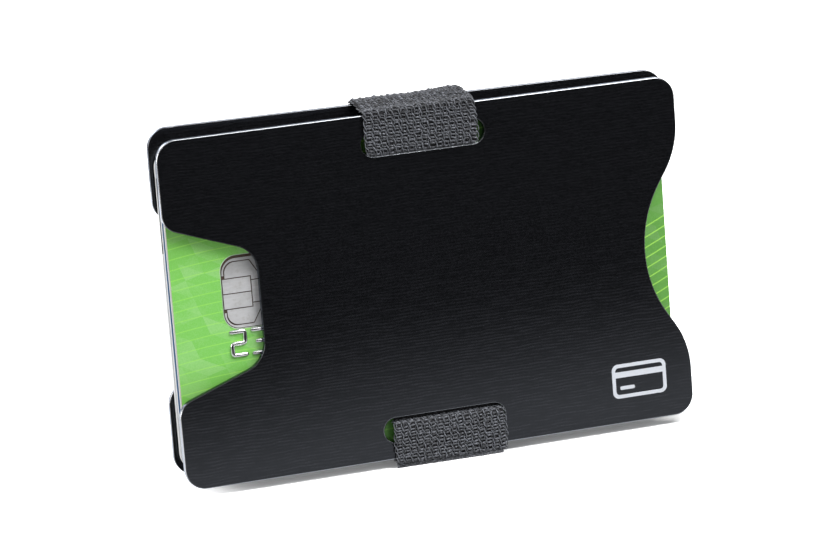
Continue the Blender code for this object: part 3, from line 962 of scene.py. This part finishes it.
def inner_stations(side, low_shift, high_shift, elastic, plates):
    """Stations of the loop's core behind one plate, thinner where the cards' digits press on it."""
    end = HALF_HEIGHT - plates.slot_bar - plates.slot_height
    digits_at, digits_reach, squashed = -5.2 * MM, 3.6 * MM, 0.06 * MM
    stations = []
    for v in np.linspace(-end - 0.1 * MM, end + 0.1 * MM, 46) * -side:
        x = low_shift + (high_shift - low_shift) * (v / end + 1) / 2
        thin = squashed if abs(v - digits_at) < digits_reach else elastic.pressed / 2
        stations.append((
            x, side * run_depth(elastic), v, (side + 1) / 2, elastic.width * 0.94, -thin, thin))
    return stations


def loop_stations(elastic, plates):
    """Stations of the whole core: front run up, over the top, back run down, under the bottom."""
    low, high = elastic.bottom_shift, elastic.top_shift
    return (
        inner_stations(-1, low, high, elastic, plates) + outer_stations(1, high, elastic, plates)
        + inner_stations(1, low, high + elastic.back_shift, elastic, plates)
        + outer_stations(-1, low, elastic, plates)[::-1])


def sewn_lap(elastic, plates, yarn):
    """Second layer where the loop is sewn closed: a flat strip whose front edge is curled."""
    random, bundle = np.random.default_rng(5), Bundle()
    half, count = elastic.lap_width / 2, 97
    normal = np.tile((0.0, 1.0, 0.0), (count, 1))
    curl = [(-3.45, 0.45), (-3.55, 0.20), (-3.1, 0.19), (-2.75, 0.19), (-2.45, 0.19)]
    for y, z in curl + [(-2.1 + 0.36 * step, 0.19) for step in range(11)]:
        x = np.linspace(-half + 0.3 * (y + 3.7) * MM, half, count)
        fullness = random.uniform(0.85, 1.1, count)
        wobble = np.interp(x, np.linspace(-half, half, 20), random.normal(0, 0.03, 20)) * MM
        depth = (y + 0.3) * MM - 0.3 * MM * x / half + wobble
        points = np.c_[elastic.lap_shift + x, depth, z * MM + wobble * 0.5 - MIDDLE]
        shade = random.uniform(0.1, 0.6, count)
        bundle.lay(to_back(points, back_share(y * MM), plates), 0.18 * MM * fullness, normal, shade)
    return bundle.build("elastic_lap", yarn)


# Embossed digits

DIGIT_STROKES = {
    "0": [[(0, 0), (1, 0), (1, 1), (0, 1), (0, 0)]],
    "1": [[(0.15, 0.8), (0.5, 1), (0.5, 0)]],
    "2": [[(0, 1), (1, 1), (1, 0.5), (0, 0.5), (0, 0), (1, 0)]],
    "3": [[(0, 1), (1, 1), (1, 0), (0, 0)], [(0.3, 0.5), (1, 0.5)]],
    "4": [[(0, 1), (0, 0.45), (1, 0.45)], [(0.75, 1), (0.75, 0)]],
    "5": [[(1, 1), (0, 1), (0, 0.5), (1, 0.5), (1, 0), (0, 0)]],
    "6": [[(1, 1), (0, 1), (0, 0), (1, 0), (1, 0.5), (0, 0.5)]],
    "7": [[(0, 1), (1, 1), (1, 0.7), (0.4, 0)]],
    "8": [[(0, 0), (1, 0), (1, 1), (0, 1), (0, 0)], [(0, 0.5), (1, 0.5)]],
    "9": [[(1, 0.5), (0, 0.5), (0, 1), (1, 1), (1, 0), (0, 0)]],
    " ": [],
}
DIGIT_ROW = "2345 6789 0123 4567"


def soft_path(points, radius):
    """Open path whose corners are turned by short arcs."""
    made = [Vector(points[0])]
    for before, corner, after in zip(points, points[1:], points[2:]):
        corner = Vector(corner)
        start = corner + (Vector(before) - corner).normalized() * radius
        end = corner + (Vector(after) - corner).normalized() * radius
        for share in (0.0, *shares(5)):
            made.append(start.lerp(corner, share).lerp(corner.lerp(end, share), share))
    made.append(Vector(points[-1]))
    return made


def raised_stroke(path, width, relief, face):
    """Points and faces of a stroke that stands on the card's face with rounded flanks and ends."""
    path = np.array([tuple(point) for point in path])
    along = unit(np.gradient(path, axis=0))
    cap = width * 0.45
    path = np.concatenate([[path[0] - along[0] * cap], path, [path[-1] + along[-1] * cap]])
    along = np.concatenate([along[:1], along, along[-1:]])
    scale = np.ones(len(path))
    scale[[0, -1]] = 0.55
    flank = [(-1.0, -0.03), (-0.92, 0.45), (-0.68, 0.85), (-0.3, 1.0)]
    profile = flank + [(-across, rise) for across, rise in flank[::-1]]
    points = []
    for (x, z), (side_x, side_z), size in zip(path, -left_of(along), scale):
        for across, rise in profile:
            reach = across * width / 2 * size
            points.append((x + side_x * reach, face - rise * relief * size, z + side_z * reach))
    return points, rod_faces(len(path), len(profile))


# Pieces


class CARDHOLDER_OT_plates(bpy.types.Operator):
    """Builds the two brushed plates with rounded edges"""

    bl_idname = "cardholder.plates"
    bl_label = "Plates"

    def execute(self, context):
        sizes = context.scene.plate_sizes
        side, top = (PLATE_HIGH.x - PLATE_LOW.x) / 2, HALF_HEIGHT
        bay = sizes.notch_mouth / 2
        floor = bay - sizes.notch_depth * math.tan(sizes.notch_slant)
        dip = sizes.curve_depth + sizes.curve_inner_radius * (1 / math.cos(sizes.curve_slope) - 1)
        flank = dip / math.tan(sizes.curve_slope)
        edge = rounded_outline([
            (-side, -top, sizes.corner_radius), (side, -top, sizes.corner_radius),
            (side, -flank, sizes.curve_mouth_radius), (side - dip, 0, sizes.curve_inner_radius),
            (side, flank, sizes.curve_mouth_radius), (side, top, sizes.corner_radius),
            (-side, top, sizes.corner_radius), (-side, bay, sizes.notch_mouth_radius),
            (-side + sizes.notch_depth, floor, sizes.notch_inner_radius),
            (-side + sizes.notch_depth, -floor, sizes.notch_inner_radius),
            (-side, -bay, sizes.notch_mouth_radius)])
        height = top - sizes.slot_bar - sizes.slot_height / 2
        radius = sizes.slot_height / 2 * 0.999
        slots = [
            rectangle(sizes.slot_length, sizes.slot_height, radius, sizes.slot_shift, slot_z)[::-1]
            for slot_z in (height, -height)]
        material = anodised_metal(context.scene.finish_colours, sizes)
        thickness = PLATE_HIGH.y - PLATE_LOW.y
        skew = Matrix.Rotation(sizes.back_skew, 4, "Y")
        back = Matrix.Translation((sizes.back_slip, 0, sizes.back_lift)) @ skew
        outer, inner = sizes.edge_radius, sizes.inner_edge_radius
        for name, low, turn, body, radii in (
                ("front_plate_brushed", PLATE_LOW.y, Matrix(), "front", (outer, inner)),
                ("back_plate_brushed", BACK_FACE - thickness, back, "back", (inner, outer))):
            points, faces, normals, edges = rounded_slab(
                [edge, *slots], low, low + thickness, *radii)
            points = [turn @ Vector(point) + Vector((0, 0, MIDDLE)) for point in points]
            normals = [turn.to_3x3() @ Vector(normal) for normal in normals]
            plate = new_object(name, points, faces, material, normals)
            point_values(plate, "edge", edges)
            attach(plate, body)
            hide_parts(f"{body}_plate")
        return {"FINISHED"}


class CARDHOLDER_OT_elastic(bpy.types.Operator):
    """Knits the elastic loop that is threaded through both plates"""

    bl_idname = "cardholder.elastic"
    bl_label = "Elastic loop"

    def execute(self, context):
        elastic, plates = context.scene.elastic_sizes, context.scene.plate_sizes
        colours = context.scene.finish_colours
        yarn, core = knit_yarn(colours), knit_core(colours, elastic)
        pieces = [new_object("elastic_core", *ribbon(loop_stations(elastic, plates), plates), core)]
        for name, side, shift, seed in (
                ("elastic_knit_top", 1, elastic.top_shift, 3),
                ("elastic_knit_bottom", -1, elastic.bottom_shift, 8)):
            pieces.append(Stretch(side, shift, seed, elastic, plates).knit().build(name, yarn))
        pieces.append(sewn_lap(elastic, plates, yarn))
        for piece in pieces:
            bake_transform(piece)
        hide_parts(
            "elastic_band_front", "elastic_band_back", "elastic_band_top",
            "elastic_band_bottom")
        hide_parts("elastic_band_lap")
        return {"FINISHED"}


class CARDHOLDER_OT_front_card(bpy.types.Operator):
    """Prints the green front card and embosses its row of digits"""

    bl_idname = "cardholder.front_card"
    bl_label = "Front card"

    def execute(self, context):
        sizes, colours = context.scene.card_sizes, context.scene.finish_colours
        dress("front_card", green_print(colours, sizes))
        bundle = Bundle()
        base = CARD_LOW.z + sizes.digit_line - sizes.digit_height / 2
        first = CARD_LOW.x + sizes.first_digit - sizes.digit_width / 2
        for number, digit in enumerate(DIGIT_ROW):
            left = first + number * sizes.digit_pitch
            for stroke in DIGIT_STROKES[digit]:
                corners = [
                    (left + x * sizes.digit_width, base + z * sizes.digit_height)
                    for x, z in stroke]
                path = soft_path(corners, sizes.digit_stroke * 0.6)
                bundle.add(*raised_stroke(path, sizes.digit_stroke, sizes.digit_relief, CARD_LOW.y))
        digits = bundle.build("embossed_digits", silver_foil(colours))
        digits.data.set_sharp_from_angle(angle=math.radians(50))
        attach(digits, "front_card")
        return {"FINISHED"}


class CARDHOLDER_OT_chip(bpy.types.Operator):
    """Plates the chip's rim and pads and colours its board"""

    bl_idname = "cardholder.chip"
    bl_label = "Chip"

    def execute(self, context):
        colours = context.scene.finish_colours
        plating = chip_metal(colours)
        contacts = [f"chip_contact_{number}" for number in range(1, 9)]
        for node in ("chip_rim", "chip_ground_contact", *contacts):
            dress(node, plating)
        dress("chip_carrier", chip_board(colours))
        # A thin pale tube round the chip: the pocket's milled edge with a painted highlight.
        low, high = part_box("chip_carrier")
        outline = rectangle(
            high.x - low.x + 2 * PLAY, high.z - low.z + 2 * PLAY, 2.65 * MM,
            (low.x + high.x) / 2, (low.z + high.z) / 2)
        path = [(x, CARD_LOW.y, z) for x, z in outline + outline[:1]]
        points, faces = tube(path, 0.06 * MM, 6, np.tile((0.0, 1.0, 0.0), (len(path), 1)))
        lip = new_object("chip_pocket_lip", points, faces, pocket_lip(colours))
        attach(lip, "front_card")
        return {"FINISHED"}


class CARDHOLDER_OT_other_cards(bpy.types.Operator):
    """Colours the plain cards behind the front card"""

    bl_idname = "cardholder.other_cards"
    bl_label = "Other cards"

    def execute(self, context):
        colours = context.scene.finish_colours
        top = CARD_HIGH.z / MM
        stripe = (top - 17, top - 16.95, top - 4.55, top - 4.5)
        for node, name, shade, band in (
                ("second_card", "white_laminate", colours.white, None),
                ("blue_card", "blue_laminate", colours.blue, None),
                ("rear_card", "striped_laminate", colours.white, stripe)):
            low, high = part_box(node)
            dress(node, laminate(name, shade, colours.white, (low.y + high.y) / 2, band))
        return {"FINISHED"}


class CARDHOLDER_OT_mark(bpy.types.Operator):
    """Prints a plain card sign in white ink on the front plate"""

    bl_idname = "cardholder.mark"
    bl_label = "Printed mark"

    def execute(self, context):
        x, z = 35.0 * MM, PLATE_LOW.z + 7.3 * MM
        face, ink, line = PLATE_LOW.y, 0.015 * MM, 0.62 * MM
        width, height = 9.7 * MM, 5.9 * MM
        outer = rectangle(width, height, 1.1 * MM, x, z)
        inner = rectangle(width - 2 * line, height - 2 * line, 0.6 * MM, x, z)[::-1]
        stripe = rectangle(width - 2 * line, 1.0 * MM, 0.02 * MM, x, z + 1.1 * MM)
        field = rectangle(2.6 * MM, line, 0.2 * MM, x - 2.2 * MM, z - 1.2 * MM)
        bundle, rounding = Bundle(), 0.002 * MM
        for outlines in ([outer, inner], [stripe], [field]):
            points, faces, *_ = rounded_slab(
                outlines, face - ink, face - 0.001 * MM, rounding, rounding, 1)
            bundle.add(points, faces)
        mark = bundle.build("printed_card_sign", white_ink(context.scene.finish_colours))
        mark.data.set_sharp_from_angle(angle=math.radians(30))
        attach(mark, "front")
        return {"FINISHED"}


# Stage


def lamp(name, power, size, place):
    """A soft box that points at the holder and that the camera doesn't see."""
    data = bpy.data.lights.new(name, "AREA")
    data.shape = "RECTANGLE"
    data.size, data.size_y = size
    data.energy = power
    box = bpy.data.objects.new(name, data)
    bpy.context.scene.collection.objects.link(box)
    box.location = place
    box.rotation_euler = (Vector((0, 0, 0.03)) - Vector(place)).to_track_quat("-Z", "Y").to_euler()
    box.visible_camera = False


def stage_panel(name, material, low, high, seen=True):
    """A flat sheet of the studio between two corners. Unseen, it shows only in reflections."""
    corners = [low, (high[0], *low[1:]), high, (low[0], *high[1:])]
    panel = new_object(name, corners, [(0, 1, 2, 3)], material)
    if not seen:
        panel.visible_camera = panel.visible_diffuse = False
        panel.visible_shadow = panel.visible_transmission = False


def pale_floor():
    """Paper that looks white and keeps the holder's shadow, plus painted shade, light and
    reflection.
    """
    material, graph = new_graph("pale_floor")
    x, y, _ = graph.split(graph.point)
    tooth = graph.noise(900.0)
    paper = graph.node("ShaderNodeBsdfDiffuse", {}, {
        "Color": graph.tint(tooth, grey(0.46), grey(0.50))})
    # Painted pool of light: the floor is paler left of the holder, where the key lamp's shadow
    # falls.
    pool = graph.tint(graph.past(x, -30, -40), graph.tint(tooth, grey(2.06), grey(2.14)), grey(3.2))
    # Painted shadow, darker under and behind the holder.
    under = graph.past(y, 12, 7) * graph.window(x, -43.5, -34, 43, 48)
    gloom = graph.past(y, -3, -1) * 0.45 + graph.past(y, -1, 1.5) * 0.17
    gloom = gloom + graph.past(y, 1.5, 4.5) * 0.33
    bright = graph.node("ShaderNodeBsdfDiffuse", {}, {
        "Color": graph.tint(gloom * under, pool, grey(0.2))})
    # Painted reflection: seen in reflections the floor glows, brightest near the holder and fading
    # out in front of it.
    reach = graph.limit((x + 0.045) * 0.33, 0.0, 0.018)
    near = graph.limit((y + reach + 0.087) / 0.076, 0.0, 1.0) * graph.step(y, 0.7, 0.5)
    mirrored = graph.node("ShaderNodeEmission", {}, {
        "Color": graph.tint(near, grey(0.0), grey(1.0)), "Strength": 1.04})
    seen, glossy = graph.node("ShaderNodeLightPath", output=("Is Camera Ray", "Is Glossy Ray"))
    unseen = graph.node("ShaderNodeMixShader", {}, {0: glossy, 1: paper, 2: mirrored})
    graph.output(graph.node("ShaderNodeMixShader", {}, {0: seen, 1: unseen, 2: bright}))
    return material


def white_studio(level):
    """World that is white to the camera and in reflections, and fills the shadows softly."""
    world = bpy.data.worlds.new("white_studio")
    world.use_nodes = True
    graph = Graph(world.node_tree)
    camera_ray, glossy_ray, clear_ray = graph.node(
        "ShaderNodeLightPath", output=("Is Camera Ray", "Is Glossy Ray", "Is Transmission Ray"))
    white = graph.node("ShaderNodeBackground", {}, {"Color": solid(grey(1.0)), "Strength": 1.0})
    direction = graph.node("ShaderNodeTexCoord", output="Generated")
    behind = graph.step(graph.split(direction)[1], -0.1, 0.5)
    fill = graph.node("ShaderNodeBackground", {}, {
        "Color": graph.tint(behind, (0.97, 0.985, 1.0), (0.35, 0.355, 0.36)), "Strength": level})
    shown = graph.maths("MAXIMUM", graph.maths("MAXIMUM", camera_ray, glossy_ray), clear_ray)
    mixed = graph.node("ShaderNodeMixShader", {}, {0: shown, 1: fill, 2: white})
    graph.node("ShaderNodeOutputWorld", {}, {"Surface": mixed})
    return world


def photo_camera(sizes):
    """Camera at the photograph's viewing angle."""
    data = bpy.data.cameras.new("camera")
    data.sensor_width = 36
    data.lens = sizes.lens
    data.clip_start, data.clip_end = 0.01, 20
    camera = bpy.data.objects.new("camera", data)
    bpy.context.scene.collection.objects.link(camera)
    back = Vector((
        -math.sin(sizes.azimuth) * math.cos(sizes.elevation),
        -math.cos(sizes.azimuth) * math.cos(sizes.elevation), math.sin(sizes.elevation)))
    level = (-back).cross(Vector((0, 0, 1))).normalized()
    right = level * math.cos(sizes.roll) + level.cross(-back) * math.sin(sizes.roll)
    turn = Matrix((right, back.cross(right), back)).transposed()
    camera.matrix_world = Matrix.Translation(
        Vector((sizes.target_x, 0, sizes.target_z)) + back * sizes.distance) @ turn.to_4x4()
    return camera


class CARDHOLDER_OT_stage(bpy.types.Operator):
    """Sets up the pale floor, the soft lamps, the white surroundings and the camera"""

    bl_idname = "cardholder.stage"
    bl_label = "Stage"

    def execute(self, context):
        sizes = context.scene.stage_sizes
        # The black flags and the glowing low strip show only in reflections: painted dark
        # reflections on the plates, and a painted highlight along their cut edges.
        black, graph = new_graph("black_flag")
        graph.surface({"Base Color": solid(grey(0.004)), "Roughness": 0.9})
        strip, graph = new_graph("low_strip")
        graph.output(graph.node("ShaderNodeEmission", {}, {"Strength": 4.5}))
        stage_panel("floor", pale_floor(), (-0.7, -0.14, 0), (0.7, 1.2, 0))
        stage_panel("front_flag", black, (-2, -1, -1.4), (2, -1, 0.75), False)
        stage_panel("low_strip", strip, (-0.3, -0.9, 0.24), (0.9, -0.9, 0.40), False)
        stage_panel("under_flag", black, (-3, -3, -0.05), (3, 3, -0.05), False)
        lamp("key_box", sizes.key_power, (0.4, 0.4), (0.277, -0.33, 0.552))
        lamp("left_box", sizes.left_power, (0.7, 0.5), (-0.85, -0.10, 0.24))
        lamp("rear_box", sizes.rear_power, (0.5, 0.3), (-0.3, 0.80, 0.38))
        context.scene.world = white_studio(sizes.fill)
        context.scene.camera = photo_camera(sizes)
        context.scene.view_settings.view_transform = "Standard"
        return {"FINISHED"}


OPERATORS = (
    CARDHOLDER_OT_plates, CARDHOLDER_OT_elastic, CARDHOLDER_OT_front_card, CARDHOLDER_OT_chip,
    CARDHOLDER_OT_other_cards, CARDHOLDER_OT_mark, CARDHOLDER_OT_stage)
GROUPS = {
    "plate_sizes": PlateSizes, "elastic_sizes": ElasticSizes, "card_sizes": CardSizes,
    "finish_colours": FinishColours, "stage_sizes": StageSizes}


class CARDHOLDER_PT_panel(bpy.types.Panel):
    """Lists the steps and the sizes and colours that they use"""

    bl_label = "Card holder"
    bl_space_type = "VIEW_3D"
    bl_region_type = "UI"
    bl_category = "Card holder"

    def draw(self, context):
        for operator in OPERATORS:
            self.layout.operator(operator.bl_idname)
        for name in GROUPS:
            box = self.layout.box()
            group = getattr(context.scene, name)
            for entry in group.bl_rna.properties:
                if entry.identifier not in ("rna_type", "name"):
                    box.prop(group, entry.identifier)


def register():
    for name, group in GROUPS.items():
        bpy.utils.register_class(group)
        setattr(bpy.types.Scene, name, PointerProperty(type=group))
    for operator in OPERATORS:
        bpy.utils.register_class(operator)
    bpy.utils.register_class(CARDHOLDER_PT_panel)


def unregister():
    bpy.utils.unregister_class(CARDHOLDER_PT_panel)
    for operator in reversed(OPERATORS):
        bpy.utils.unregister_class(operator)
    for name, group in GROUPS.items():
        delattr(bpy.types.Scene, name)
        bpy.utils.unregister_class(group)


def main():
    """Build every piece and the stage."""
    register()
    bpy.ops.cardholder.stage()
    bpy.ops.cardholder.plates()
    bpy.ops.cardholder.elastic()
    bpy.ops.cardholder.front_card()
    bpy.ops.cardholder.chip()
    bpy.ops.cardholder.other_cards()
    bpy.ops.cardholder.mark()
    bpy.context.view_layer.update()


if __name__ == "__main__":
    main()
